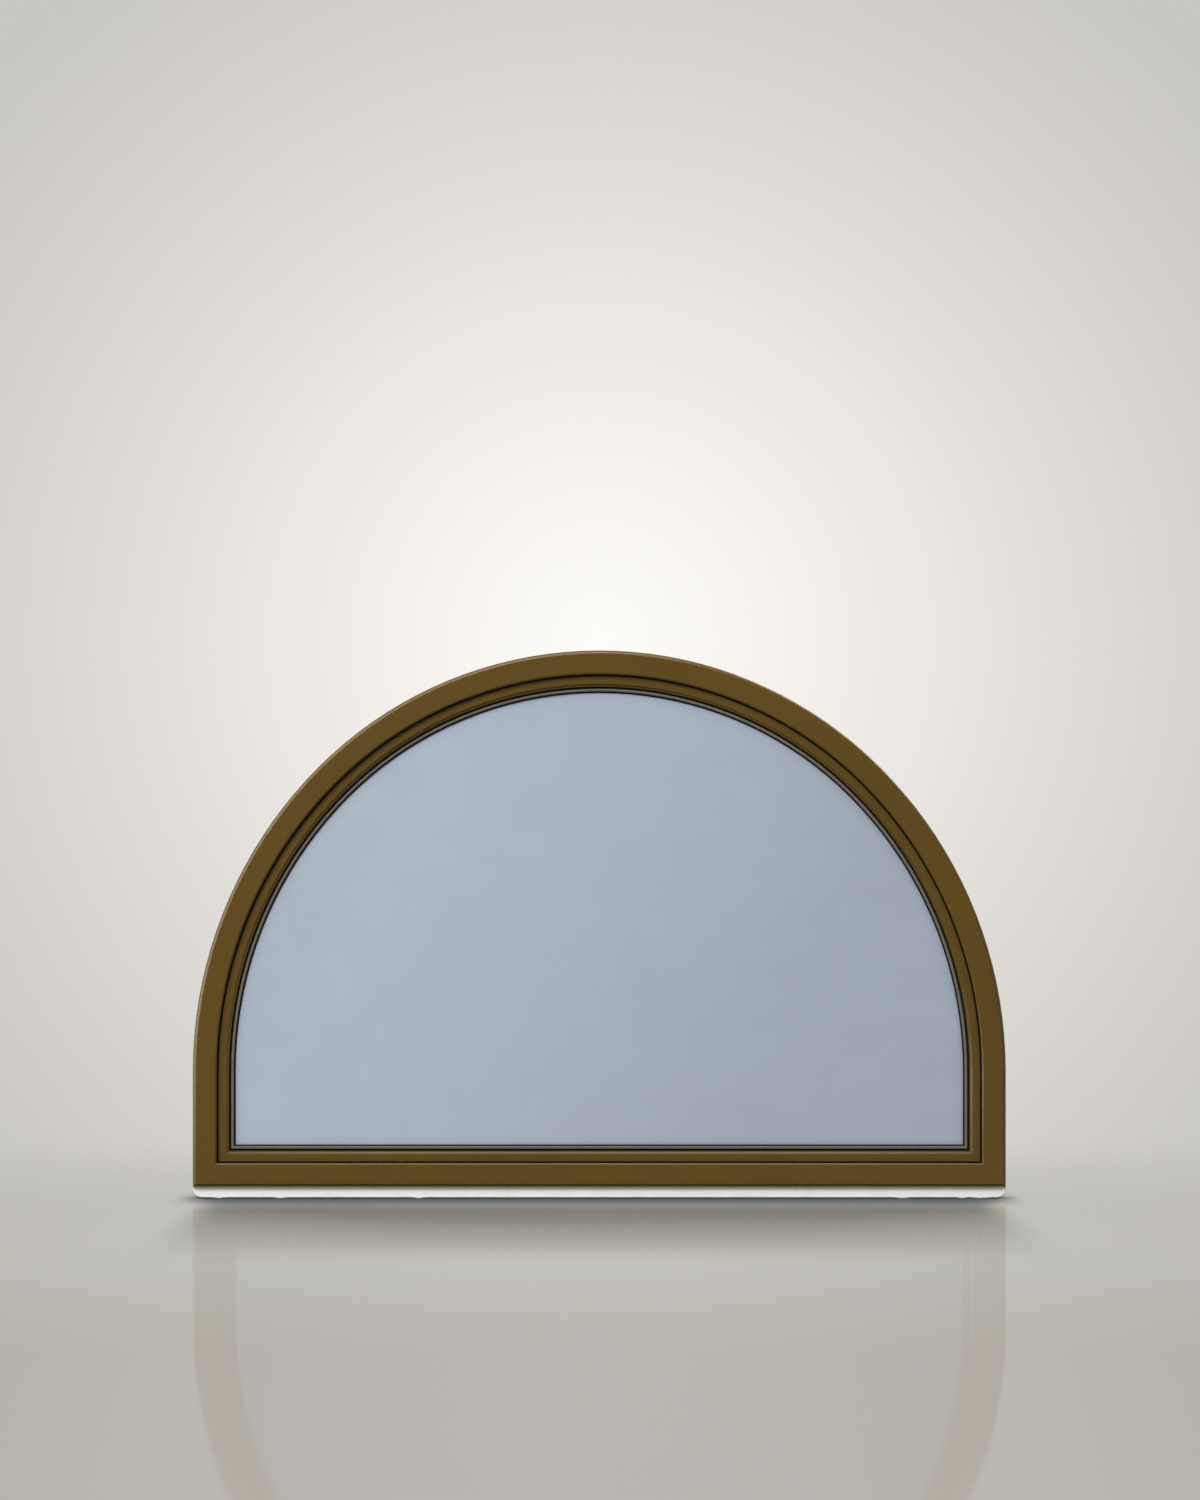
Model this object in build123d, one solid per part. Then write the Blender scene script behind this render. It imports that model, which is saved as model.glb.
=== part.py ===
from build123d import *
import math
import os

# Round-top storm window: a bent master frame with a flat wall flange, and a
# removable glazed insert that four slide latches hold in it. Millimetres,
# +X right, +Z up, and the weather side looks along -Y.
# Every section is drawn with u, the distance inward from the frame's outer
# edge, and v, the distance forward from the wall plane (y = -v).

# Outline of the master frame: straight legs, then a three-centred arch. The side
# arcs' centres lie past the middle, and they pass into the crown arc at arch_turn.
frame_width = 1219.2
straight_leg = 174.0
side_centre_shift = 36.0
arch_turn = 45.0

# Master frame extrusion
frame_sightline = 36.0
frame_depth = 38.0
frame_wall = 1.8
outer_bevel = 5.0
nose_width = 1.9
nose_depth = 7.0
inner_chamfer = 2.2
flange_width = 15.0
flange_thickness = 2.0

# Insert extrusion, set into the master frame
insert_clearance = 2.2
insert_recess = 9.0
insert_standoff = 4.5
insert_wall = 1.5
insert_tube_width = 9.0
insert_inset = 2.7
insert_bevel_width = 3.0
insert_bevel_depth = 3.0
insert_lip = 1.1
rear_leg_thickness = 2.0

# Glass and the black channel that wraps its edge in the insert's pocket
glass_thickness = 4.0
glass_recess = 12.0
pocket_depth = 10.0
seat_gap = 0.2
channel_base = 1.8
channel_front_leg = 1.9
channel_lip_width = 2.4
channel_lip_taper = 1.2
channel_rear_width = 6.7

# Grey bead on the front leg of the channel
bead_groove = 2.9
bead_width = 4.0
bead_height = 3.4
bead_chamfer = 1.0

# Weatherstrip in its track on the back of the insert
track_rib = 0.9
track_depth = 1.6
track_gap = 0.1
strip_width = 3.2
strip_notch = 15.0

# Screw holes through the wall flange
hole_radius = 2.5
hole_edge_distance = 5.5
sill_hole_spacing = 300.0
leg_hole_height = 90.0
arch_hole_turns = (15.0, 45.0, 75.0)

# Slide latches on the room side of the insert
latch_sill_offset = 300.0
latch_arch_turn = 60.0
latch_bolt_width = 12.0
latch_bolt_thickness = 2.2
latch_bolt_reach = 3.2
latch_bolt_chamfer = 3.0
latch_clearance = 0.3
latch_case_length = 42.0
latch_case_width = 14.5
latch_case_wall = 2.0
latch_case_rear = 1.0
latch_case_chamfer = 4.0
latch_case_setback = 1.0
latch_tab_length = 10.0
latch_tab_width = 3.0
latch_tab_rear = 0.2
latch_tab_side_gap = 1.0

# Corner keys that join the mitred corners
key_gap = 0.25
frame_key_arm = 70.0
frame_key_web = 3.0
insert_key_arm = 55.0

# Weep slots of the sill and the white seal under it
weep_length = 26.0
weep_width = 3.0
weep_offset = 420.0
weep_cover = 1.0
seal_height = 17.0
seal_setback = 12.0
seal_rear = 2.0
seal_corner_radius = 14.0

# Levels of u, from the outer edge inward
flange_reach = frame_sightline + flange_width
hole_line = flange_reach - hole_edge_distance
insert_start = frame_sightline + insert_clearance
insert_tube_end = insert_start + insert_tube_width
insert_sightline = flange_reach + insert_inset
channel_start = insert_tube_end + seat_gap
glass_edge = channel_start + channel_base + seat_gap
channel_rear_sight = insert_sightline + channel_rear_width
bead_start = insert_sightline + bead_groove
bead_end = bead_start + bead_width
channel_front_sight = bead_end + channel_lip_width
strip_start = insert_start + track_rib + track_gap
strip_end = strip_start + strip_width
latch_case_start = flange_reach + latch_case_setback
latch_case_end = latch_case_start + latch_case_width

# Levels of v, from the wall plane forward
insert_rear = flange_thickness + insert_standoff
insert_front = frame_depth - insert_recess
glass_front = insert_front - glass_recess
glass_rear = glass_front - glass_thickness
pocket_front = (glass_front + glass_rear + pocket_depth) / 2
pocket_rear = pocket_front - pocket_depth
channel_front = glass_front + channel_front_leg
bolt_rear = flange_thickness + latch_clearance
bolt_front = bolt_rear + latch_bolt_thickness
seal_front = frame_depth - seal_setback

# The origin lies on the wall plane, half way up the sill's flange
half_width = frame_width / 2
sill_bottom = -flange_reach / 2
springing = sill_bottom + straight_leg
side_radius = half_width + side_centre_shift
crown_shift = side_centre_shift / math.cos(math.radians(arch_turn))
crown_radius = side_radius - crown_shift
crown_centre = springing + crown_shift * math.sin(math.radians(arch_turn))


def inset_point(turn, inset):
    """Point (x, z) at one turn of the arch, at a distance inside the outer edge."""
    run = math.cos(math.radians(turn))
    rise = math.sin(math.radians(turn))
    if arch_turn < turn < 180 - arch_turn:
        reach = crown_radius - inset
        return reach * run, crown_centre + reach * rise
    reach = side_radius - inset
    side = math.copysign(1, run)
    return reach * run - side * side_centre_shift, springing + reach * rise


def section_plane(turn):
    """The plane of the frame's section at one turn of the arch, with u and v as its axes."""
    x, z = inset_point(turn, 0)
    run = math.cos(math.radians(turn))
    rise = math.sin(math.radians(turn))
    return Plane(origin=(x, 0, z), x_dir=(-run, 0, -rise), z_dir=(-rise, 0, run))


def arc_axis(x, z):
    """Axis through a centre of the arch, turning from the right springing up to the crown."""
    return Axis((x, 0, z), (0, -1, 0))


def outline(*points):
    """A closed polygon."""
    return make_face(Polyline(*points, close=True))


def band(u_start, u_end, v_start, v_end):
    """A plain rectangular section."""
    return outline((u_start, v_start), (u_end, v_start), (u_end, v_end), (u_start, v_end))


def plate(front_view, v_start, v_end):
    """Thickens a shape drawn in front view, as (x, z), between two levels of v."""
    return extrude(Plane.XZ.offset(v_start) * front_view, amount=v_end - v_start)


def sill_zone():
    """The room of the bottom pieces, below the two mitre lines that rise at 45 degrees."""
    reach = 1.5 * channel_front_sight
    top = sill_bottom + reach
    trapezium = outline(
        (-half_width, sill_bottom),
        (half_width, sill_bottom),
        (half_width - reach, top),
        (reach - half_width, top),
    )
    return plate(trapezium, -frame_depth, 2 * frame_depth)


def bent_piece(section):
    """One length bent over the arch, with a straight leg each side, mitred at its feet."""
    first = section_plane(0) * section
    leg = extrude(first, amount=straight_leg, dir=(0, 0, -1))
    side_axis = arc_axis(-side_centre_shift, springing)
    right_half = leg + revolve(first, axis=side_axis, revolution_arc=arch_turn)
    crown_section = section_plane(arch_turn) * section
    crown_arc = 180 - 2 * arch_turn
    crown = revolve(crown_section, axis=arc_axis(0, crown_centre), revolution_arc=crown_arc)
    return right_half + crown + mirror(right_half, about=Plane.YZ) - sill_zone()


def straight_piece(section):
    """One straight bottom length, mitred at both ends."""
    sill_plane = Plane(origin=(0, 0, sill_bottom), x_dir=(0, 0, 1), z_dir=(1, 0, 0))
    return extrude(sill_plane * section, amount=half_width, both=True) & sill_zone()


def on_arch(shape, turn):
    """Moves a shape drawn at the sill's middle to one turn of the arch."""
    x, z = inset_point(turn, 0)
    return Pos(x, 0, z) * Rot(0, -90 - turn, 0) * Pos(0, 0, -sill_bottom) * shape


def frame_section():
    """Hollow frame tube with its steep nose, outer bevel and inner chamfer, and the flat wall flange."""
    tube = outline(
        (0, 0),
        (0, frame_depth - nose_depth),
        (nose_width, frame_depth - outer_bevel + nose_width),
        (outer_bevel, frame_depth),
        (frame_sightline - inner_chamfer, frame_depth),
        (frame_sightline, frame_depth - inner_chamfer),
        (frame_sightline, 0),
    )
    hollow = offset(tube, -frame_wall, kind=Kind.INTERSECTION)
    flange = band(frame_sightline - frame_wall, flange_reach, 0, flange_thickness)
    return tube - hollow + flange


def insert_section():
    """Hollow insert with its bevelled face, the rear leg of the glazing pocket and the strip's track."""
    bevel_end = insert_sightline - insert_lip
    bevel_foot = insert_front - insert_bevel_depth
    body = outline(
        (insert_start, insert_rear),
        (insert_start, insert_front),
        (bevel_end - insert_bevel_width, insert_front),
        (bevel_end, bevel_foot),
        (insert_sightline, bevel_foot),
        (insert_sightline, pocket_front),
        (insert_tube_end, pocket_front),
        (insert_tube_end, insert_rear),
    )
    hollow = offset(body, -insert_wall, kind=Kind.INTERSECTION)
    leg_start = insert_tube_end - insert_wall
    rear_leg = band(leg_start, insert_sightline, pocket_rear - rear_leg_thickness, pocket_rear)
    section = body - hollow + rear_leg
    for rib_start in (insert_start, strip_end + track_gap):
        rib_end = rib_start + track_rib
        section += band(rib_start, rib_end, insert_rear - track_depth, insert_rear + insert_wall)
    return section


def channel_section():
    """Black channel round the edge of the glass, with a thin wiping lip on the front."""
    base_end = channel_start + channel_base
    return outline(
        (channel_start, pocket_rear + seat_gap),
        (channel_rear_sight, pocket_rear + seat_gap),
        (channel_rear_sight, glass_rear),
        (base_end, glass_rear),
        (base_end, glass_front),
        (channel_front_sight, glass_front),
        (channel_front_sight, channel_front - channel_lip_taper),
        (bead_end, channel_front),
        (channel_start, channel_front),
    )


def bead_section():
    """Grey bead that stands on the front leg of the channel, with its top edges eased."""
    bead = band(bead_start, bead_end, channel_front, channel_front + bead_height)
    return chamfer(bead.vertices().group_by(Axis.Y)[-1], bead_chamfer)


def strip_section():
    """Weatherstrip between the insert and the flange."""
    return band(strip_start, strip_end, flange_thickness, insert_rear - seat_gap)


def glass_outline():
    """Front view of the glass: the frame's own arch, drawn inside it."""
    half_glass = half_width - glass_edge
    foot = sill_bottom + glass_edge
    edges = [
        Line((-half_glass, springing), (-half_glass, foot)),
        Line((-half_glass, foot), (half_glass, foot)),
        Line((half_glass, foot), (half_glass, springing)),
    ]
    stops = (0, arch_turn, 180 - arch_turn, 180)
    for start, end in zip(stops, stops[1:]):
        turns = (start, (start + end) / 2, end)
        edges.append(ThreePointArc(*[inset_point(turn, glass_edge) for turn in turns]))
    return make_face(edges)


def hole_places():
    """Every screw hole of the flange, as (x, z)."""
    places = []
    for step in (-1.5, -0.5, 0.5, 1.5):
        places.append((step * sill_hole_spacing, sill_bottom + hole_line))
    for side in (-1, 1):
        places.append((side * (half_width - hole_line), sill_bottom + leg_hole_height))
    for turn in arch_hole_turns:
        places.append(inset_point(turn, hole_line))
        places.append(inset_point(180 - turn, hole_line))
    return places


def screw_holes():
    """Drills for the screw holes, through the flange alone."""
    drills = [Pos(x, z) * Circle(hole_radius) for x, z in hole_places()]
    return plate(Sketch() + drills, -flange_thickness, 1.5 * flange_thickness)


def block(x_start, x_end, u_start, u_end, v_start, v_end):
    """A box drawn at the sill's middle, from its limits along x, u and v."""
    face = outline(
        (x_start, sill_bottom + u_start),
        (x_end, sill_bottom + u_start),
        (x_end, sill_bottom + u_end),
        (x_start, sill_bottom + u_end),
    )
    return plate(face, v_start, v_end)


def at_latches(shape):
    """Copies of a shape drawn at the sill's middle, one for each latch, by the latch's place."""
    return {
        "bottom_left": Pos(-latch_sill_offset, 0, 0) * shape,
        "bottom_right": Pos(latch_sill_offset, 0, 0) * shape,
        "top_left": on_arch(shape, 180 - latch_arch_turn),
        "top_right": on_arch(shape, latch_arch_turn),
    }


def latch_bolt():
    """Flat bolt that reaches from its thumb tab into the slot in the frame's inner wall."""
    half = latch_bolt_width / 2
    tip = frame_sightline - latch_bolt_reach
    tail = latch_case_end - latch_case_wall - latch_clearance
    bar = block(-half, half, tip, tail, bolt_rear, bolt_front)
    tip_edges = bar.edges().filter_by(Axis.Y).group_by(Axis.Z)[0]
    bar = chamfer(tip_edges, latch_bolt_chamfer)
    tab_half = latch_tab_length / 2
    tab_start = (latch_case_start + latch_case_end - latch_tab_width) / 2
    tab_end = tab_start + latch_tab_width
    return bar + block(-tab_half, tab_half, tab_start, tab_end, latch_tab_rear, bolt_rear)


def latch_case():
    """Case on the insert's rear leg, with a tunnel for the bolt and a window for its tab."""
    half = latch_case_length / 2
    front = pocket_rear - rear_leg_thickness - seat_gap
    case = block(-half, half, latch_case_start, latch_case_end, latch_case_rear, front)
    inner_edges = case.edges().filter_by(Axis.Y).group_by(Axis.Z)[-1]
    case = chamfer(inner_edges, latch_case_chamfer)
    slide = latch_bolt_width / 2 + latch_clearance
    far_wall = latch_case_end - latch_case_wall
    tunnel_rear = bolt_rear - latch_clearance
    tunnel = block(-slide, slide, flange_reach, far_wall, tunnel_rear, bolt_front + latch_clearance)
    window_half = latch_tab_length / 2 + latch_tab_side_gap
    window_start = latch_case_start + latch_case_wall
    window = block(-window_half, window_half, window_start, far_wall, 0, bolt_rear)
    return case - tunnel - window


def latch_slot():
    """Slot through the frame's inner wall for the tip of a bolt."""
    half = latch_bolt_width / 2 + latch_clearance
    start = frame_sightline - 2 * frame_wall
    return block(-half, half, start, insert_start, flange_thickness, bolt_front + latch_clearance)


def strip_break():
    """The break in the weatherstrip where a bolt crosses it."""
    half = strip_notch / 2
    return block(-half, half, insert_start, insert_tube_end, 0, insert_rear)


def weep_slots():
    """Slots that drain the rebate: through the sill's top wall behind the insert's face, and through
    its bottom wall in front of the seal."""
    half = weep_length / 2
    top_rear = insert_front - weep_cover - weep_width
    bottom_rear = seal_front + weep_cover
    slots = []
    for middle in (-weep_offset, weep_offset):
        for level, rear in ((0, bottom_rear), (frame_sightline, top_rear)):
            start = level - 1.5 * frame_wall
            end = level + 1.5 * frame_wall
            slots.append(block(middle - half, middle + half, start, end, rear, rear + weep_width))
    return slots


def corner_key(arm, u_outer, u_inner, v_start, v_end):
    """Right-hand corner key: an angle that runs from the sill into the leg across the mitre."""
    right, low = half_width - u_outer, sill_bottom + u_outer
    inner_right, inner_low = half_width - u_inner, sill_bottom + u_inner
    angle = outline(
        (right - arm, low),
        (right, low),
        (right, low + arm),
        (inner_right, low + arm),
        (inner_right, inner_low),
        (right - arm, inner_low),
    )
    return plate(angle, v_start, v_end)


def frame_corner_key():
    """Cast key of the master frame, a trough that is open towards the weather side."""
    outer = frame_wall + key_gap
    inner = frame_sightline - outer
    front = frame_depth - nose_depth - outer
    key = corner_key(frame_key_arm, outer, inner, outer, front)
    web = frame_key_web
    return key - corner_key(half_width / 2, outer + web, inner - web, outer + web, frame_depth)


def insert_corner_key():
    """Key of the insert, a plain angle in the insert's tube."""
    margin = insert_wall + key_gap
    return corner_key(
        insert_key_arm,
        insert_start + margin,
        insert_tube_end - margin,
        insert_rear + margin,
        insert_front - margin,
    )


def sill_seal():
    """White seal that the sill is bedded on, rounded at its two lower corners."""
    bar = block(-half_width, half_width, -seal_height, 0, seal_rear, seal_front)
    low_edges = bar.edges().filter_by(Axis.Y).group_by(Axis.Z)[0]
    return fillet(low_edges, seal_corner_radius)


def build_nodes():
    """Every sub-part by its node name."""
    openings = [*at_latches(latch_slot()).values(), screw_holes()]
    breaks = [*at_latches(strip_break()).values()]
    nodes = {
        "frame_head": bent_piece(frame_section()) - openings,
        "frame_sill": straight_piece(frame_section()) - openings - weep_slots(),
        "insert_head": bent_piece(insert_section()),
        "insert_bottom_rail": straight_piece(insert_section()),
        "glazing_channel_head": bent_piece(channel_section()),
        "glazing_channel_bottom": straight_piece(channel_section()),
        "glazing_bead_head": bent_piece(bead_section()),
        "glazing_bead_bottom": straight_piece(bead_section()),
        "glass_pane": plate(glass_outline(), glass_rear, glass_front),
        "weatherstrip_head": bent_piece(strip_section()) - breaks,
        "weatherstrip_bottom": straight_piece(strip_section()) - breaks,
        "sill_seal": sill_seal(),
    }
    for owner, key in (("frame", frame_corner_key()), ("insert", insert_corner_key())):
        nodes[f"{owner}_corner_key_right"] = key
        nodes[f"{owner}_corner_key_left"] = mirror(key, about=Plane.YZ)
    for name, piece in (("latch_bolt", latch_bolt()), ("latch_case", latch_case())):
        for place, copy in at_latches(piece).items():
            nodes[f"{name}_{place}"] = copy
    return nodes


os.makedirs("parts", exist_ok=True)
for node, shape in build_nodes().items():
    export_step(shape, f"parts/{node}.step")
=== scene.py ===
import math

import bmesh
import bpy
from mathutils import Matrix, Vector, noise


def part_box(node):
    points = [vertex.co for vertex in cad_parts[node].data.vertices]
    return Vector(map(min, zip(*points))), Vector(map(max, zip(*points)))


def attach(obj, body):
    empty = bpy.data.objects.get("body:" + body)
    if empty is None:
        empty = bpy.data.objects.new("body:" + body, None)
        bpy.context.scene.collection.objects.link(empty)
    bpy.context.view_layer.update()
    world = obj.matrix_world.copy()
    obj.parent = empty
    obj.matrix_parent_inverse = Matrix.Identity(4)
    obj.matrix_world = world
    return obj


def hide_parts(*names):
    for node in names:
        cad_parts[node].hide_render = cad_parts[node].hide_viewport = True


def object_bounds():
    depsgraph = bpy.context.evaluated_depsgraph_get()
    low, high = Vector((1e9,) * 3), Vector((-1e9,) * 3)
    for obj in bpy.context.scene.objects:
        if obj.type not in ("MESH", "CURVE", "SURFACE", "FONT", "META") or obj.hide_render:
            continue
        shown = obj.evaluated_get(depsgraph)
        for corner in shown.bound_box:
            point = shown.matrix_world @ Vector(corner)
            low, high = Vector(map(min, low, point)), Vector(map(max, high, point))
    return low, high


# Round-top storm window: the finish of every piece, the seal the sill is bedded on, the pile of
# the weatherstrip and the small fasteners. Metres, +X right, +Z up; the weather side looks along -Y.

MM = 0.001

# Places that are nearer than this to each other are one place
TOUCHING = 1e-6

# The photograph's frame: where the window stands in it, in pixels of 1200 x 1500
PHOTO_HEIGHT_PX = 1500
PHOTO_MIDDLE_PX = (600, 750)
WINDOW_MIDDLE_PX = 599.3
WINDOW_LEVEL_PX = 924.0
FRAME_FOOT_PX = 1187.3
PIXEL = 1.498 * MM

# Camera
CAMERA_DISTANCE = 6.0
CAMERA_REACH = 60
SENSOR = 36.0

# Wall: the middle and reach of its painted glow, the glow's tones from the middle out, and how far below the
# level a view goes, as a share of its length, where the wall turns to the floor's tone
GLOW_PX = (600, 640)
GLOW_REACH_PX = 812
GLOW_TONES = ((0.30, 241), (0.54, 226), (0.78, 213))
WALL_FOOT = (-0.05, -0.12)

# Room: its even light for matt surfaces, how far from the glow's middle, in radians, gloss starts and
# ends to show it dimmer, and by what share
EVEN_LIGHT = 0.55
ROOM_TURNS = (0.3, 0.9)
ROOM_DIM = 0.5

# Floor: its size, the two ends of its change of tone from front to back, its gloss, the light it throws
# back, where it fades away behind the window and all round, and the paler painted sheen along its middle
# line
FLOOR_RADIUS = 6.0
FLOOR_ENDS = (-3.3, 0.3)
FLOOR_TONES = (
    (0.0, (180, 174, 165)),
    (0.31, (181, 175, 166)),
    (0.53, (189, 185, 176)),
    (0.67, (193, 189, 180)),
)
FLOOR_GLOSS = 0.12
FLOOR_GLOSS_TINT = (0.7, 0.82, 1, 1)
FLOOR_GLOSS_ROUGHNESS = 0.05
FLOOR_BOUNCE = 0.25
BACK_FADE = (-0.35, 1.7)
ROUND_FADE = (3.2, 5.8)
PAINTED_SHEEN_REACH = 0.75
PAINTED_SHEEN_LIFT = 1.13

# Painted shade of the floor: a broad one and a narrow one at the window's foot, each with its reach, its
# power and the distances from the window's middle line between which it ends. The broad one also ends
# behind the window, and leaves the floor a least share of its tone
SHADE_REACH = 1.15
SHADE_POWER = 3.8
SHADE_SIDES = (0.53, 0.605)
SHADE_BEHIND = (0.0, 0.5)
SHADE_LEAST = 0.41
CONTACT_REACH = 0.17
CONTACT_POWER = 5.0
CONTACT_SIDES = (0.58, 0.645)
FLOOR_SHADE_SAMPLES = 16

# Place that the lamps shine towards
LAMPS_AIM = (0, 0, 0.4)

# Strips of light that the outer bevel mirrors: the turn round the arch in degrees and the power of each,
# how far they stand from the arch's middle and behind the wall plane, and their size
RIM_LAMPS = ((178, 10), (155, 9), (133, 8), (111, 7), (89, 6))
RIM_REACH = 3.4
RIM_BEHIND = 0.21
RIM_LENGTH = 1.35
STRIP_LIGHT_WIDTH = 0.3

# Levels between which most of a noise lies, and those between which it blends two colours, the grain's
# size against the drift of tone, and how far the roughness of a plain finish swings
NOISE_SPAN = (0.3, 0.7)
BLEND_SPAN = (0.35, 0.65)
GRAINS_A_TONE = 12
ROUGHNESS_SWING = 0.06

# Soft painted shade in the frame's recess and along the edge of the glass: its reach, the least share of
# the colour that it leaves, and how open a place is where the shade is that deep
RECESS_SHADE_REACH = 12 * MM
RECESS_SHADE_LEAST = 0.7
GLASS_SHADE_REACH = 18 * MM
GLASS_SHADE_LEAST = 0.5
DEEP_SHADE_OPENNESS = 0.5
SHADE_SAMPLES = 8

# Painted sky reflection on the glass: the slope of its tones in degrees, and the places along it where they
# end
PAINTED_SKY_SLOPE = -25
PAINTED_SKY_SPAN = (-0.5, 0.2)

# Seal under the sill: its corners and edges, the lift of its lower edge and the lumps that reach lower,
# each with its place and half its width
SEAL_CORNER = 14 * MM
SEAL_EDGE = 0.9 * MM
SEAL_LIFT = 1.3 * MM
SEAL_RIPPLE = 0.25 * MM
RIPPLES_A_METRE = 60
SEAL_CUTS = 320
SEAL_LUMPS = (
    (-0.571, 0.007),
    (-0.478, 0.008),
    (-0.270, 0.007),
    (0.454, 0.009),
    (0.545, 0.006),
    (0.572, 0.012),
)

# Screws that hold the latch cases: the head and its cross recess, the place of each beside the middle
# of its case, and how far its cross is turned, in degrees
SCREW_HEAD_RADIUS = 2.6 * MM
SCREW_HEAD_HEIGHT = 0.75 * MM
SCREW_HEAD_EDGE = 0.3 * MM
SCREW_RECESS_RADIUS = 1.5 * MM
SCREW_RECESS_DEPTH = 0.45 * MM
SCREW_RECESS_ARM = 0.32 * MM
SCREW_OFFSET = 15.5 * MM
SCREW_TURN = 20

# Arch of the frame: the level where its legs end, how far past the middle the side arcs' centres lie,
# and the turn of each side arc in degrees
SPRINGING = 148.5 * MM
CENTRE_SHIFT = 36 * MM
ARCH_TURN = 45.0

# Weatherstrip: a woven backing with pile that reaches the frame's flange, and its breaks at the latches
STRIP_START = 39.2 * MM
STRIP_WIDTH = 3.2 * MM
STRIP_REAR = 2.0 * MM
STRIP_FRONT = 6.3 * MM
BACKING = 0.9 * MM
PILE_SETBACK = 0.5 * MM
PILE_TIP = 1.0 * MM
PILE_STEP = 2.0 * MM
PILE_SPREAD = 0.14 * MM
PILE_SHORTER = 0.3 * MM
TUFTS_A_METRE = 1500
OTHER_TUFTS = Vector((31, 7, 3))
FINER_TUFTS = 1.7
STRIP_BREAK = 15 * MM
TOP_LATCH_TURN = 60.0
BOTTOM_LATCH_X = 300 * MM

LATCH_PLACES = ("bottom_left", "bottom_right", "top_left", "top_right")

# Places of the nodes in the shader editor
NODES_A_ROW = 6
NODE_SPACING = (220, 320)

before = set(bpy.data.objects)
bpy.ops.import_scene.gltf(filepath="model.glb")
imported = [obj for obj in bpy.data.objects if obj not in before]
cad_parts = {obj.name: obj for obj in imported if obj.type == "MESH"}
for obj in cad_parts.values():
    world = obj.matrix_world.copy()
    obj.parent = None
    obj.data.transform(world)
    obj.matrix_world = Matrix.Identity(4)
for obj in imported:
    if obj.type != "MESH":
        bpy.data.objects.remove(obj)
cad_low, cad_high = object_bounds()


def srgb(red, green, blue):
    """A colour given as 0 to 255 on screen, as linear values."""
    def linear(level):
        share = level / 255
        return share / 12.92 if share <= 0.04045 else ((share + 0.055) / 1.055) ** 2.4
    return (linear(red), linear(green), linear(blue), 1.0)


def photo_point(x, y):
    """Place (x, z) in the plane of the window's face that shows at a pixel of the photograph."""
    return (x - WINDOW_MIDDLE_PX) * PIXEL, (FRAME_FOOT_PX - y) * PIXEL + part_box("frame_sill")[0].z


def bare_tree(owner):
    """The shader tree of a material or world, with nothing in it."""
    owner.use_nodes = True
    owner.node_tree.nodes.clear()
    return owner.node_tree


def feed(tree, value, socket):
    """Gives a socket a value of its own, or another node's result."""
    if isinstance(value, bpy.types.NodeSocket):
        tree.links.new(value, socket)
    else:
        socket.default_value = value


def node(tree, kind, **values):
    """A shader node with its settings; what a socket takes is given by the socket's name."""
    row, column = divmod(len(tree.nodes), NODES_A_ROW)
    made = tree.nodes.new(kind)
    made.location = (column * NODE_SPACING[0], -row * NODE_SPACING[1])
    for name, value in values.items():
        if hasattr(made, name):
            setattr(made, name, value)
        else:
            feed(tree, value, made.inputs[name.replace("_", " ")])
    return made


def arithmetic(tree, operation, *values):
    """One step of arithmetic on values that are each a number or another node's result."""
    step = node(tree, "ShaderNodeMath", operation=operation)
    for place, value in enumerate(values):
        feed(tree, value, step.inputs[place])
    return step.outputs["Value"]


def carried(tree, value, source, target=(0.0, 1.0), smooth=False):
    """A value carried from one range to another and held at its ends, in a straight line or smoothly."""
    made = node(
        tree,
        "ShaderNodeMapRange",
        interpolation_type="SMOOTHSTEP" if smooth else "LINEAR",
        Value=value,
        From_Min=source[0],
        From_Max=source[1],
        To_Min=target[0],
        To_Max=target[1],
    )
    return made.outputs["Result"]


def scaled(tree, colour, share):
    """A colour made darker or paler by a share that differs from place to place."""
    made = node(tree, "ShaderNodeVectorMath", operation="SCALE", Scale=share)
    tree.links.new(colour, made.inputs[0])
    return made.outputs["Vector"]


def tones(tree, level, *stops):
    """Colours along a level, each given with its place from 0 to 1."""
    made = node(tree, "ShaderNodeValToRGB", Fac=level)
    line = made.color_ramp.elements
    for end in (0, -1):
        line[end].position, line[end].color = stops[end]
    for place, colour in stops[1:-1]:
        line.new(place).color = colour
    return made.outputs["Color"]


def mixed(tree, share, first, second):
    """Two shaders mixed by a share."""
    made = node(tree, "ShaderNodeMixShader", Fac=share)
    tree.links.new(first, made.inputs[1])
    tree.links.new(second, made.inputs[2])
    return made.outputs["Shader"]


def openness(tree, reach, samples):
    """1 where nothing stands within a reach of a place, and less the more does."""
    return node(tree, "ShaderNodeAmbientOcclusion", Distance=reach, samples=samples).outputs["AO"]


def object_noise(tree, scale, detail=3.0, roughness=0.5, stretch=(1, 1, 1)):
    """Noise on Object coordinates, with scale in features a metre."""
    place = node(tree, "ShaderNodeTexCoord")
    mapping = node(tree, "ShaderNodeMapping", Vector=place.outputs["Object"], Scale=stretch)
    texture = node(
        tree,
        "ShaderNodeTexNoise",
        Vector=mapping.outputs["Vector"],
        Scale=scale,
        Detail=detail,
        Roughness=roughness,
    )
    return texture.outputs["Fac"]


def blend_by(tree, pattern, dark, light):
    """Two colours mixed by a noise."""
    return tones(tree, pattern, (BLEND_SPAN[0], dark), (BLEND_SPAN[1], light))


def spread(tree, pattern, low, high):
    """A noise stretched to the range low to high."""
    return carried(tree, pattern, NOISE_SPAN, (low, high))


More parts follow.
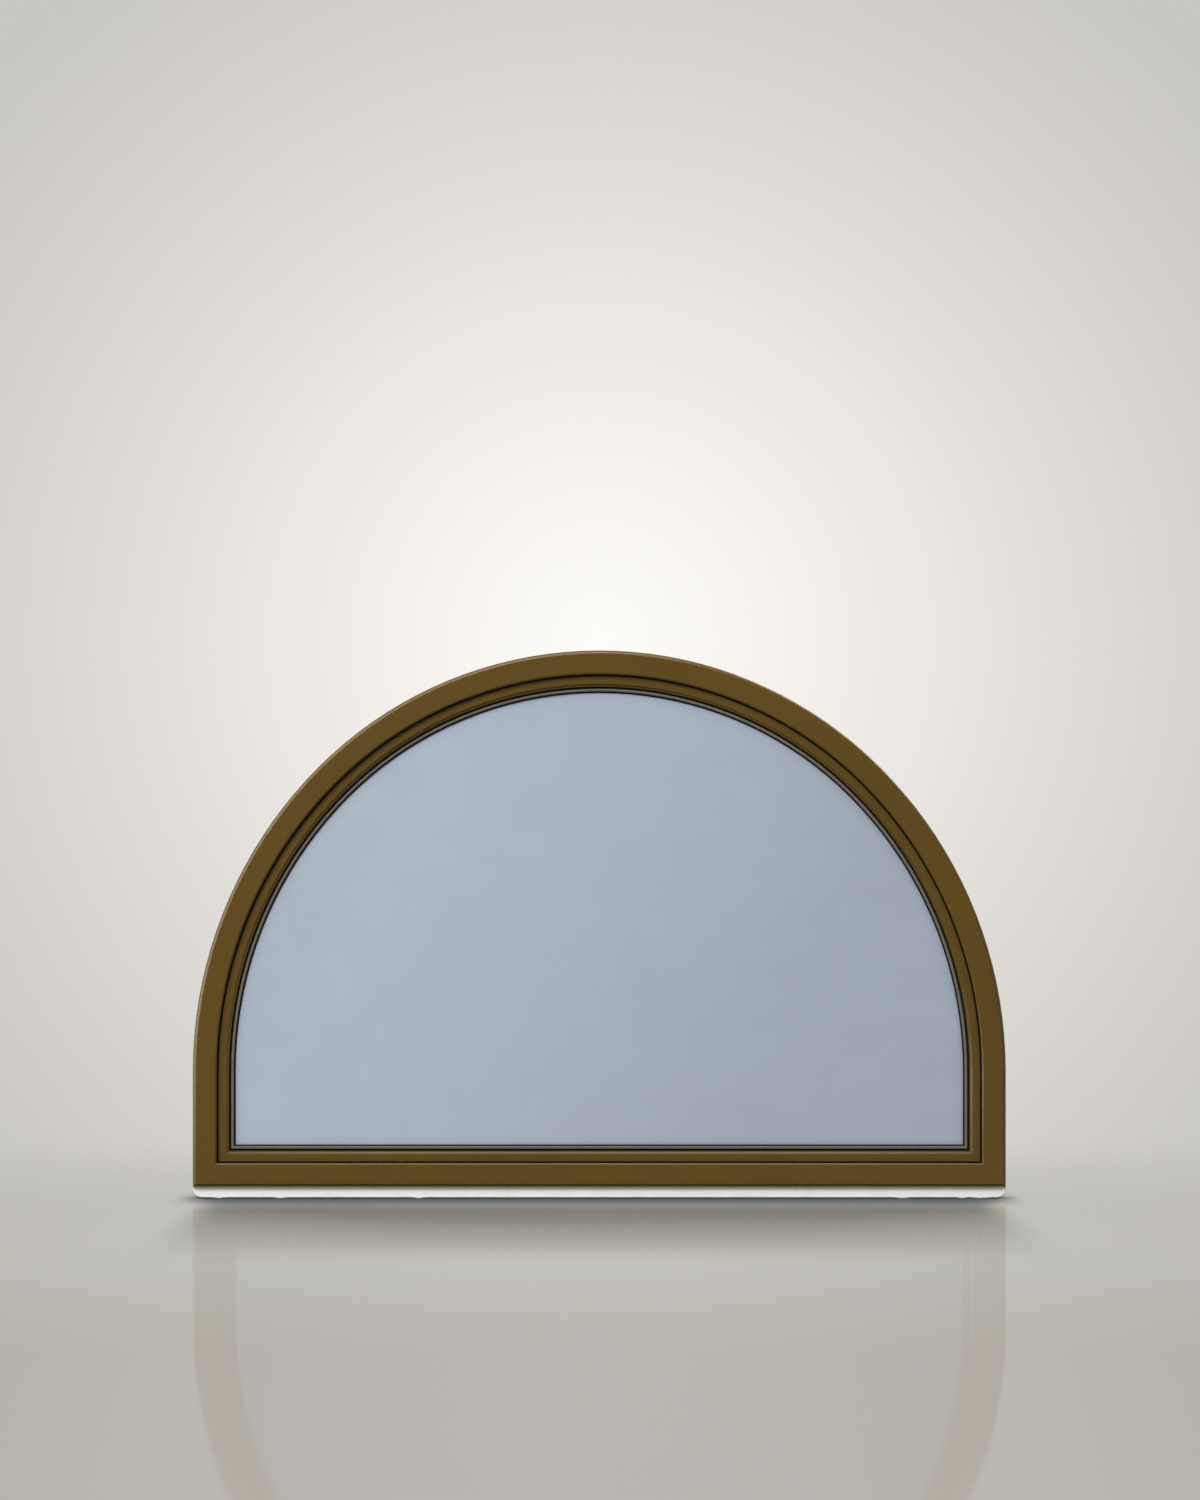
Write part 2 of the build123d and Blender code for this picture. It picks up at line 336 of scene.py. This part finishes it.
def relief(tree, height, depth, strength=1.0, normal=None):
    """Fine surface relief of the given depth in metres, on top of another normal if one is given."""
    bump = node(tree, "ShaderNodeBump", Strength=strength, Distance=depth, Height=height)
    if normal is not None:
        tree.links.new(normal, bump.inputs["Normal"])
    return bump.outputs["Normal"]


def shaded_by(tree, colour, reach, least):
    """Painted shade: a colour darkened where other surfaces stand close by, down to a least share of itself.
    """
    near = openness(tree, reach, SHADE_SAMPLES)
    return scaled(tree, colour, carried(tree, near, (DEEP_SHADE_OPENNESS, 1.0), (least, 1.0)))


def principled(tree, **values):
    """The Principled surface of a material, with what each of its sockets takes."""
    shader = node(tree, "ShaderNodeBsdfPrincipled", **values)
    node(tree, "ShaderNodeOutputMaterial", Surface=shader.outputs["BSDF"])


def bronze_paint():
    """Satin bronze baked paint with a fine orange peel, a slight drift of tone and painted shade in the
    recess.
    """
    made = bpy.data.materials.new("bronze_paint")
    tree = bare_tree(made)
    drift = object_noise(tree, scale=9.0, detail=2.0)
    colour = blend_by(tree, drift, srgb(90, 68, 18), srgb(94, 71, 20))
    grain = object_noise(tree, scale=700.0, detail=2.0)
    edges = node(tree, "ShaderNodeBevel", Radius=0.25 * MM, samples=6)
    # the base colour carries painted shade where the frame's recess closes in
    principled(
        tree,
        Base_Color=shaded_by(tree, colour, RECESS_SHADE_REACH, RECESS_SHADE_LEAST),
        Roughness=spread(tree, grain, 0.22, 0.28),
        Specular_IOR_Level=0.34,
        Normal=relief(tree, grain, depth=0.02 * MM, strength=0.6, normal=edges.outputs["Normal"]),
    )
    return made


def glass_painted_sky():
    """Glass with a painted reflection of a soft overcast sky, paler to the upper left with faint patches of
    cloud.
    """
    made = bpy.data.materials.new("glass_painted_sky")
    tree = bare_tree(made)
    place = node(tree, "ShaderNodeTexCoord")
    turn = (0, math.radians(PAINTED_SKY_SLOPE), 0)
    slope = node(tree, "ShaderNodeMapping", Vector=place.outputs["Object"], Rotation=turn)
    split = node(tree, "ShaderNodeSeparateXYZ", Vector=slope.outputs["Vector"])
    across = carried(tree, split.outputs["X"], PAINTED_SKY_SPAN)
    # painted reflection of the sky, paler to the upper left
    sky = tones(tree, across, (0.0, srgb(178, 189, 205)), (1.0, srgb(164, 175, 190)))
    painted_clouds = object_noise(tree, scale=11.0, detail=4.0, roughness=0.55, stretch=(1, 1, 1.4))
    painted_sky_with_clouds = scaled(tree, sky, spread(tree, painted_clouds, 0.98, 1.02))
    ripple = object_noise(tree, scale=6.0, detail=1.0)
    principled(
        tree,
        # painted shade darkens the glass along its edge
        Base_Color=shaded_by(tree, painted_sky_with_clouds, GLASS_SHADE_REACH, GLASS_SHADE_LEAST),
        Roughness=0.16,
        Specular_IOR_Level=0.4,
        Alpha=0.96,
        Normal=relief(tree, ripple, depth=0.4 * MM, strength=0.15),
    )
    return made


def plain_surface(name, dark, light, roughness, grains, depth, specular, metallic=0.0):
    """A finish of two close tones with a fine grain, of so many grains a metre and such a depth."""
    made = bpy.data.materials.new(name)
    tree = bare_tree(made)
    drift = object_noise(tree, scale=grains / GRAINS_A_TONE, detail=2.0)
    grain = object_noise(tree, scale=grains, detail=3.0)
    principled(
        tree,
        Base_Color=blend_by(tree, drift, dark, light),
        Roughness=spread(tree, grain, roughness - ROUGHNESS_SWING, roughness + ROUGHNESS_SWING),
        Specular_IOR_Level=specular,
        Metallic=metallic,
        Normal=relief(tree, grain, depth),
    )
    return made


def black_rubber():
    """Matt black rubber of the glazing channel."""
    tone = (srgb(18, 18, 18), srgb(23, 23, 22))
    return plain_surface("black_rubber", *tone, roughness=0.5, grains=900, depth=0.02 * MM, specular=0.15)


def grey_vinyl():
    """Warm grey vinyl of the glazing bead."""
    tone = (srgb(105, 98, 87), srgb(111, 104, 93))
    return plain_surface("grey_vinyl", *tone, roughness=0.5, grains=900, depth=0.02 * MM, specular=0.3)


def cast_key():
    """Metal of the corner keys, as cast."""
    tone = (srgb(176, 176, 178), srgb(196, 196, 198))
    return plain_surface(
        "cast_key", *tone, roughness=0.5, grains=800, depth=0.05 * MM, specular=0.5, metallic=1.0
    )


def bolt_steel():
    """Dull zinc-plated steel of the latch bolts and screws."""
    tone = (srgb(128, 126, 121), srgb(144, 142, 137))
    return plain_surface(
        "bolt_steel", *tone, roughness=0.4, grains=1200, depth=0.01 * MM, specular=0.5, metallic=1.0
    )


def latch_plastic():
    """Dark brown moulded plastic of the latch cases."""
    tone = (srgb(44, 36, 24), srgb(50, 41, 28))
    return plain_surface("latch_plastic", *tone, roughness=0.42, grains=1500, depth=0.02 * MM, specular=0.4)


def white_seal():
    """White soft seal under the sill."""
    tone = (srgb(238, 237, 236), srgb(244, 243, 242))
    return plain_surface("white_seal", *tone, roughness=0.6, grains=400, depth=0.08 * MM, specular=0.3)


def pile_fibre():
    """Dark grey fibre of the weatherstrip."""
    tone = (srgb(40, 40, 40), srgb(62, 60, 58))
    return plain_surface("pile_strip", *tone, roughness=0.9, grains=1500, depth=0.3 * MM, specular=0.1)


def dress(finish, *names):
    """Gives CAD nodes their finish."""
    for name in names:
        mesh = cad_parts[name].data
        mesh.materials.clear()
        mesh.materials.append(finish)


def piece(name, shape, finish):
    """Turns a bmesh into an object with its finish."""
    mesh = bpy.data.meshes.new(name)
    shape.to_mesh(mesh)
    shape.free()
    mesh.materials.append(finish)
    mesh.shade_flat()
    made = bpy.data.objects.new(name, mesh)
    bpy.context.scene.collection.objects.link(made)
    return made


def everything(shape):
    """All corners, edges and faces of a shape."""
    return shape.verts[:] + shape.edges[:] + shape.faces[:]


def round_off(shape, edges, offset, segments):
    """Rounds edges off."""
    bmesh.ops.bevel(
        shape, geom=edges, offset=offset, affect="EDGES", segments=segments, profile=0.5, material=-1
    )


def lies_at(edge, axis, *levels):
    """True for an edge with both its ends at one of the levels along an axis."""
    return any(all(abs(end.co[axis] - level) < TOUCHING for end in edge.verts) for level in levels)


def seal_lift(x):
    """How far the seal's lower edge stays above its lowest level at x, for its lumps and its waviness."""
    lump = max(math.exp(-((x - middle) / width) ** 2) for middle, width in SEAL_LUMPS)
    ripple = SEAL_RIPPLE * noise.noise(Vector((x * RIPPLES_A_METRE, 0, 3)))
    return max(0.0, SEAL_LIFT * (1 - lump) + ripple)


def sill_seal(finish):
    """White seal under the sill, a soft bar with rounded lower corners and a lumpy lower edge."""
    low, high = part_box("sill_seal")
    shape = bmesh.new()
    bmesh.ops.create_cube(shape, size=1)
    bmesh.ops.scale(shape, vec=high - low, verts=shape.verts)
    bmesh.ops.translate(shape, vec=(low + high) / 2, verts=shape.verts)
    corners = [edge for edge in shape.edges if lies_at(edge, 2, low.z) and lies_at(edge, 0, low.x, high.x)]
    round_off(shape, corners, SEAL_CORNER, segments=10)
    rims = [edge for edge in shape.edges if lies_at(edge, 1, low.y, high.y) and not lies_at(edge, 2, high.z)]
    round_off(shape, rims, SEAL_EDGE, segments=3)
    for step in range(1, SEAL_CUTS):
        x = low.x + (high.x - low.x) * step / SEAL_CUTS
        bmesh.ops.bisect_plane(shape, geom=everything(shape), plane_co=(x, 0, 0), plane_no=(1, 0, 0))
    bmesh.ops.triangulate(shape, faces=[face for face in shape.faces if len(face.verts) > 4])
    for point in shape.verts:
        share = (high.z - point.co.z) / (high.z - low.z)
        point.co.z += share**2 * seal_lift(point.co.x)
    bmesh.ops.recalc_face_normals(shape, faces=shape.faces)
    made = piece("sill_seal_bar", shape, finish)
    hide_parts("sill_seal")
    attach(made, "root")


def in_recess(face):
    """True for a face of the head's flat top, inside the recess circle."""
    level = abs(face.calc_center_median().z - SCREW_HEAD_HEIGHT) < 0.1 * TOUCHING
    return level and all(point.co.to_2d().length < SCREW_RECESS_RADIUS * 1.01 for point in face.verts)


def in_cross(face):
    """True for a face that lies on an arm of the cross."""
    centre = face.calc_center_median()
    return min(abs(centre.x), abs(centre.y)) < SCREW_RECESS_ARM


def screw_head(shape):
    """Adds one thin pan head with a cross recess at the origin, its top towards +Z."""
    made = bmesh.ops.create_cone(
        shape,
        cap_ends=True,
        segments=32,
        radius1=SCREW_HEAD_RADIUS,
        radius2=SCREW_HEAD_RADIUS,
        depth=SCREW_HEAD_HEIGHT,
    )
    bmesh.ops.translate(shape, vec=(0, 0, SCREW_HEAD_HEIGHT / 2), verts=made["verts"])
    top = max(shape.faces, key=lambda face: face.calc_center_median().z)
    round_off(shape, top.edges[:], SCREW_HEAD_EDGE, segments=3)
    top = max(shape.faces, key=lambda face: (face.calc_center_median().z, face.calc_area()))
    inset = SCREW_HEAD_RADIUS - SCREW_HEAD_EDGE - SCREW_RECESS_RADIUS
    bmesh.ops.inset_region(shape, faces=[top], thickness=inset)
    for axis in (Vector((1, 0, 0)), Vector((0, 1, 0))):
        for side in (-1, 1):
            inner = [face for face in shape.faces if in_recess(face)]
            cut = [*inner, *{edge for face in inner for edge in face.edges}]
            cut += list({point for face in inner for point in face.verts})
            bmesh.ops.bisect_plane(shape, geom=cut, plane_co=axis * side * SCREW_RECESS_ARM, plane_no=axis)
    cross = [face for face in shape.faces if in_recess(face) and in_cross(face)]
    pushed = bmesh.ops.extrude_face_region(shape, geom=cross)
    floor_corners = [part for part in pushed["geom"] if isinstance(part, bmesh.types.BMVert)]
    bmesh.ops.delete(shape, geom=cross, context="FACES_ONLY")
    bmesh.ops.translate(shape, vec=(0, 0, -SCREW_RECESS_DEPTH), verts=floor_corners)


def latch_seat(place):
    """Matrix that carries a part from the origin to the middle of a latch case's rear face."""
    low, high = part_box(f"latch_case_{place}")
    middle = (low + high) / 2
    middle.y = high.y
    turn = math.radians(90 - TOP_LATCH_TURN) if place.startswith("top") else 0.0
    side = 1 if place.endswith("right") else -1
    return Matrix.Translation(middle) @ Matrix.Rotation(side * turn, 4, "Y")


def latch_screws(finish):
    """Two screws through each latch case, their heads on the room side."""
    whole = bmesh.new()
    towards_room = Matrix.Rotation(math.radians(-90), 4, "X")
    for place in LATCH_PLACES:
        for side in (-1, 1):
            head = bmesh.new()
            screw_head(head)
            turned_head = towards_room @ Matrix.Rotation(math.radians(SCREW_TURN * side), 4, "Z")
            shift = Matrix.Translation((side * SCREW_OFFSET, 0, 0))
            bmesh.ops.transform(head, matrix=latch_seat(place) @ shift @ turned_head, verts=head.verts)
            mesh = bpy.data.meshes.new("head")
            head.to_mesh(mesh)
            whole.from_mesh(mesh)
            head.free()
            bpy.data.meshes.remove(mesh)
    bmesh.ops.recalc_face_normals(whole, faces=whole.faces)
    made = piece("latch_screws", whole, finish)
    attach(made, "root")


def strip_ring(shape, start_x, level):
    """Closed outline of the weatherstrip across a leg: its backing towards the front, its pile behind."""
    root = STRIP_FRONT - BACKING
    half = STRIP_WIDTH / 2
    side = half - PILE_SETBACK
    right = [
        (half, STRIP_FRONT),
        (half, root),
        (side, root),
        (side, (root + STRIP_REAR) / 2),
        (PILE_TIP, STRIP_REAR),
    ]
    outline = right + [(0.0, STRIP_REAR)] + [(-across, depth) for across, depth in reversed(right)]
    points = [shape.verts.new((start_x + half + across, -depth, level)) for across, depth in outline]
    return [shape.edges.new((points[place - 1], points[place])) for place in range(len(points))]


def ring_points(ring):
    """Corners of an outline."""
    return list({end for edge in ring for end in edge.verts})


def carry_on(shape, ring, centre=(0, 0, 0), turn=0.0, way=(0, 0, 0)):
    """Carries an outline on round a centre, or straight on, and gives its last place."""
    length = Vector(way).length or abs(turn) * abs(ring[0].verts[0].co.x - centre[0])
    steps = max(1, round(length / PILE_STEP))
    made = bmesh.ops.spin(
        shape,
        geom=ring,
        cent=centre,
        axis=(0, 1, 0),
        dvec=Vector(way) / steps,
        angle=turn,
        steps=steps,
        use_duplicate=False,
    )
    return [part for part in made["geom_last"] if isinstance(part, bmesh.types.BMEdge)]


def turn_ring(shape, ring, centre, turn):
    """Turns an outline about a centre in the window's plane."""
    bmesh.ops.rotate(shape, cent=centre, matrix=Matrix.Rotation(turn, 3, "Y"), verts=ring_points(ring))


def strip_round_arch(shape, half_width, bottom):
    """Left half of the strip up the leg and round the arch, with a break at the upper latch."""
    start_x = -half_width + STRIP_START
    side_centre = (CENTRE_SHIFT, 0, SPRINGING)
    crown_centre = (0, 0, SPRINGING + CENTRE_SHIFT)
    crown_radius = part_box("frame_head")[1].z - crown_centre[2]
    gap = STRIP_BREAK / 2 / (crown_radius - STRIP_START - STRIP_WIDTH / 2)
    latch_turn = math.radians(TOP_LATCH_TURN)
    ring = strip_ring(shape, start_x, bottom + STRIP_WIDTH)
    ring = carry_on(shape, ring, way=(0, 0, SPRINGING - bottom - STRIP_WIDTH))
    ring = carry_on(shape, ring, side_centre, math.radians(ARCH_TURN))
    carry_on(shape, ring, crown_centre, latch_turn - math.radians(ARCH_TURN) - gap)
    ring = strip_ring(shape, start_x, SPRINGING)
    bmesh.ops.translate(shape, vec=(half_width - crown_radius, 0, CENTRE_SHIFT), verts=ring_points(ring))
    turn_ring(shape, ring, crown_centre, latch_turn + gap)
    carry_on(shape, ring, crown_centre, math.radians(90) - latch_turn - gap)


def strip_along_bottom(shape, half_width, bottom):
    """Left half of the strip along the bottom, with a break at the lower latch."""
    runs = (
        (half_width - STRIP_START, BOTTOM_LATCH_X + STRIP_BREAK / 2),
        (BOTTOM_LATCH_X - STRIP_BREAK / 2, 0),
    )
    for start, end in runs:
        ring = strip_ring(shape, 0.0, 0.0)
        turn_ring(shape, ring, (0, 0, 0), math.radians(-90))
        bmesh.ops.translate(shape, vec=(-start, 0, bottom), verts=ring_points(ring))
        carry_on(shape, ring, way=(start - end, 0, 0))


def ruffle(shape):
    """Pulls the pile's fibres a little apart and to uneven lengths."""
    root = -(STRIP_FRONT - BACKING)
    for point in shape.verts:
        if point.co.y > root + 0.01 * MM:
            place = point.co * TUFTS_A_METRE
            reach = (point.co.y - root) / (STRIP_FRONT - BACKING - STRIP_REAR)
            point.co.x += reach * PILE_SPREAD * noise.noise(place)
            point.co.z += reach * PILE_SPREAD * noise.noise(place + OTHER_TUFTS)
            point.co.y -= reach * PILE_SHORTER * abs(noise.noise(place * FINER_TUFTS))


def weatherstrip(finish):
    """Pile weatherstrip round the back of the insert, broken where the latch bolts cross it."""
    half_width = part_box("frame_head")[1].x
    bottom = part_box("weatherstrip_bottom")[0].z
    shape = bmesh.new()
    strip_round_arch(shape, half_width, bottom)
    strip_along_bottom(shape, half_width, bottom)
    bmesh.ops.mirror(shape, geom=everything(shape), axis="X", merge_dist=-1)
    seam = [point for point in shape.verts if abs(point.co.x) < TOUCHING]
    bmesh.ops.remove_doubles(shape, verts=seam, dist=TOUCHING)
    bmesh.ops.holes_fill(shape, edges=[edge for edge in shape.edges if len(edge.link_faces) == 1])
    ruffle(shape)
    bmesh.ops.recalc_face_normals(shape, faces=shape.faces)
    made = piece("weatherstrip_pile", shape, finish)
    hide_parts("weatherstrip_head", "weatherstrip_bottom")
    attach(made, "root")


def camera():
    """Level camera straight in front of the window's middle, shifted to the photograph's framing."""
    data = bpy.data.cameras.new("camera")
    data.sensor_fit = "AUTO"
    data.sensor_width = SENSOR
    data.lens = SENSOR * CAMERA_DISTANCE / (PHOTO_HEIGHT_PX * PIXEL)
    data.shift_y = (WINDOW_LEVEL_PX - PHOTO_MIDDLE_PX[1]) / PHOTO_HEIGHT_PX
    data.clip_end = CAMERA_REACH
    made = bpy.data.objects.new("camera", data)
    x, z = photo_point(PHOTO_MIDDLE_PX[0], WINDOW_LEVEL_PX)
    made.location = (x, cad_low.y - CAMERA_DISTANCE, z)
    made.rotation_euler = (math.radians(90), 0, 0)
    bpy.context.scene.collection.objects.link(made)
    bpy.context.scene.camera = made
    return made


def turn_from_glow(tree, direction, eye):
    """Angle between a direction and the middle of the wall's glow, in radians."""
    x, z = photo_point(*GLOW_PX)
    towards = node(tree, "ShaderNodeVectorMath", operation="DOT_PRODUCT")
    tree.links.new(direction, towards.inputs[0])
    towards.inputs[1].default_value = Vector((x - eye.x, CAMERA_DISTANCE, z - eye.z)).normalized()
    return arithmetic(tree, "ARCCOSINE", towards.outputs["Value"])


def wall_colour(tree, direction, turn):
    """Pale wall: a painted round glow behind the crown that fades to warm grey, and the floor's tone below.
    """
    reach = math.atan(GLOW_REACH_PX * PIXEL / CAMERA_DISTANCE)
    between = [(place, srgb(tone, tone - 3, tone - 8)) for place, tone in GLOW_TONES]
    ends = ((0.0, srgb(255, 253, 248)), (1.0, srgb(201, 199, 195)))
    wall = tones(tree, arithmetic(tree, "DIVIDE", turn, reach), ends[0], *between, ends[1])
    height = node(tree, "ShaderNodeSeparateXYZ", Vector=direction).outputs["Z"]
    foot = carried(tree, height, WALL_FOOT, smooth=True)
    mix = node(tree, "ShaderNodeMix", data_type="RGBA", Factor=foot, A=wall, B=srgb(186, 182, 175))
    return mix.outputs["Result"]


def room_level(tree, turn):
    """1 for the wall, and less for what gloss shows of the rest of the room, which stands in half shade."""
    ray = node(tree, "ShaderNodeLightPath")
    away = carried(tree, turn, ROOM_TURNS, (0.0, ROOM_DIM), smooth=True)
    lost = arithmetic(tree, "MULTIPLY", ray.outputs["Is Glossy Ray"], away)
    return arithmetic(tree, "SUBTRACT", 1.0, lost)


def sight_rays(tree):
    """1 for rays that show a surface as it looks, 0 for the light that matt surfaces throw on."""
    ray = node(tree, "ShaderNodeLightPath")
    seen = arithmetic(tree, "MAXIMUM", ray.outputs["Is Camera Ray"], ray.outputs["Is Glossy Ray"])
    return arithmetic(tree, "MAXIMUM", seen, ray.outputs["Is Transmission Ray"])


def studio(eye):
    """World: the pale wall for what sees it, and plain even light for matt surfaces."""
    world = bpy.data.worlds.new("studio")
    bpy.context.scene.world = world
    tree = bare_tree(world)
    direction = node(tree, "ShaderNodeTexCoord").outputs["Generated"]
    turn = turn_from_glow(tree, direction, eye)
    colour = wall_colour(tree, direction, turn)
    wall = node(tree, "ShaderNodeBackground", Color=colour, Strength=room_level(tree, turn))
    even = node(tree, "ShaderNodeBackground", Color=(1, 0.98, 0.95, 1), Strength=EVEN_LIGHT)
    shown = mixed(tree, sight_rays(tree), even.outputs["Background"], wall.outputs["Background"])
    node(tree, "ShaderNodeOutputWorld", Surface=shown)


def contact_shade(tree, along, across):
    """Painted shade of the floor close to the window, from open floor at 1 to the dark line at the window's
    foot.
    """
    sides = carried(tree, across, SHADE_SIDES, (SHADE_POWER, 0.0), smooth=True)
    behind = carried(tree, along, SHADE_BEHIND, (1.0, 0.0), smooth=True)
    power = arithmetic(tree, "MULTIPLY", sides, behind)
    broad = arithmetic(tree, "POWER", openness(tree, SHADE_REACH, FLOOR_SHADE_SAMPLES), power)
    line_power = carried(tree, across, CONTACT_SIDES, (CONTACT_POWER, 0.0), smooth=True)
    line = arithmetic(tree, "POWER", openness(tree, CONTACT_REACH, FLOOR_SHADE_SAMPLES), line_power)
    return arithmetic(tree, "MULTIPLY", arithmetic(tree, "MAXIMUM", broad, SHADE_LEAST), line)


def floor_tone(tree, along, across):
    """Grey of the floor, a little darker towards the camera and paler along the window's middle line with a
    painted sheen.
    """
    stops = [(place, srgb(*tone)) for place, tone in FLOOR_TONES]
    grey = tones(tree, carried(tree, along, FLOOR_ENDS), *stops, (1.0, stops[-1][1]))
    # painted sheen: the floor is paler along the window's middle line
    lift = carried(tree, across, (0.0, PAINTED_SHEEN_REACH), (PAINTED_SHEEN_LIFT, 1.0), smooth=True)
    return scaled(tree, grey, lift)


def floor_fade(tree, place, along):
    """How far the floor has faded away: behind the window, and all round at a distance."""
    reach = node(tree, "ShaderNodeVectorMath", operation="LENGTH")
    tree.links.new(place, reach.inputs[0])
    back = carried(tree, along, BACK_FADE, smooth=True)
    around = carried(tree, reach.outputs["Value"], ROUND_FADE, smooth=True)
    return arithmetic(tree, "MAXIMUM", back, around)


def floor_finish():
    """Pale satin floor that shows its tone, painted shade and a painted sheen, and throws a plain light back
    on matt surfaces.
    """
    made = bpy.data.materials.new("studio_floor")
    tree = bare_tree(made)
    place = node(tree, "ShaderNodeTexCoord").outputs["Object"]
    split = node(tree, "ShaderNodeSeparateXYZ", Vector=place)
    along = split.outputs["Y"]
    across = arithmetic(tree, "ABSOLUTE", split.outputs["X"])
    # the floor's tone carries painted shade near the window
    colour = scaled(tree, floor_tone(tree, along, across), contact_shade(tree, along, across))
    shown = node(tree, "ShaderNodeEmission", Color=colour, Strength=1.0)
    gloss = node(tree, "ShaderNodeBsdfGlossy", Color=FLOOR_GLOSS_TINT, Roughness=FLOOR_GLOSS_ROUGHNESS)
    polished = mixed(tree, FLOOR_GLOSS, shown.outputs["Emission"], gloss.outputs["BSDF"])
    bounce = node(tree, "ShaderNodeEmission", Color=srgb(255, 250, 240), Strength=FLOOR_BOUNCE)
    looked_at = mixed(tree, sight_rays(tree), bounce.outputs["Emission"], polished)
    clear = node(tree, "ShaderNodeBsdfTransparent")
    faded = mixed(tree, floor_fade(tree, place, along), looked_at, clear.outputs["BSDF"])
    node(tree, "ShaderNodeOutputMaterial", Surface=faded)
    return made


def floor():
    """Floor that mirrors the window faintly and fades into the wall behind it."""
    shape = bmesh.new()
    bmesh.ops.create_circle(shape, cap_ends=True, segments=96, radius=FLOOR_RADIUS)
    bmesh.ops.translate(shape, vec=(0, 0, cad_low.z), verts=shape.verts)
    made = piece("studio_floor", shape, floor_finish())
    return made


def left_out(made):
    """A collection that tells lamps to leave one object out."""
    group = bpy.data.collections.new("not_lit")
    group.objects.link(made)
    group.collection_objects[0].light_linking.link_state = "EXCLUDE"
    return group


def lamp(name, unlit, place, size, power, aim=LAMPS_AIM):
    """A soft box that shines from one place towards another and leaves the floor unlit. The second of its
    two sizes runs from front to back."""
    data = bpy.data.lights.new(name, "AREA")
    data.shape = "RECTANGLE"
    data.size, data.size_y = size
    data.energy = power
    made = bpy.data.objects.new(name, data)
    made.location = place
    back = (Vector(place) - Vector(aim)).normalized()
    side = Vector((0, 1, 0)).cross(back).normalized()
    made.rotation_euler = Matrix((side, back.cross(side), back)).transposed().to_euler()
    made.visible_camera = False
    bpy.context.scene.collection.objects.link(made)
    made.light_linking.receiver_collection = unlit


def rim_lamps(unlit):
    """Strips round the upper left, a little behind the face, that the outer bevel mirrors to the camera."""
    middle = Vector((0, 0, SPRINGING))
    for turn, power in RIM_LAMPS:
        way = Vector((math.cos(math.radians(turn)), 0, math.sin(math.radians(turn))))
        place = middle + way * RIM_REACH + Vector((0, RIM_BEHIND, 0))
        lamp(f"rim_{turn}", unlit, place, (RIM_LENGTH, STRIP_LIGHT_WIDTH), power, middle)


def lamps(ground):
    """Key light high in front, strips that draw the bevels' bright lines, and a weaker light behind."""
    unlit = left_out(ground)
    lamp("key", unlit, place=(-4.3, -8.6, 7.1), size=(4.2, 4.2), power=1065)
    rim_lamps(unlit)
    lamp("left_strip", unlit, place=(-3.4, -0.41, 0.4), size=(1.2, STRIP_LIGHT_WIDTH), power=17)
    lamp("top_strip", unlit, place=(0, -0.235, 3.4), size=(2.2, STRIP_LIGHT_WIDTH), power=12)
    lamp("rear_fill", unlit, place=(2.5, 5.5, 3.5), size=(2.5, 2.5), power=120)


def dress_window():
    """Gives every piece of the window its finish, and adds the seal, the pile and the screws."""
    dress(bronze_paint(), "frame_head", "frame_sill", "insert_head", "insert_bottom_rail")
    dress(glass_painted_sky(), "glass_pane")
    dress(black_rubber(), "glazing_channel_head", "glazing_channel_bottom")
    dress(grey_vinyl(), "glazing_bead_head", "glazing_bead_bottom")
    corners = [f"{owner}_corner_key_{side}" for owner in ("frame", "insert") for side in ("left", "right")]
    dress(cast_key(), *corners)
    steel = bolt_steel()
    dress(steel, *(f"latch_bolt_{place}" for place in LATCH_PLACES))
    dress(latch_plastic(), *(f"latch_case_{place}" for place in LATCH_PLACES))
    sill_seal(white_seal())
    weatherstrip(pile_fibre())
    latch_screws(steel)


dress_window()
studio(camera().location)
lamps(floor())
bpy.context.scene.view_settings.view_transform = "Standard"
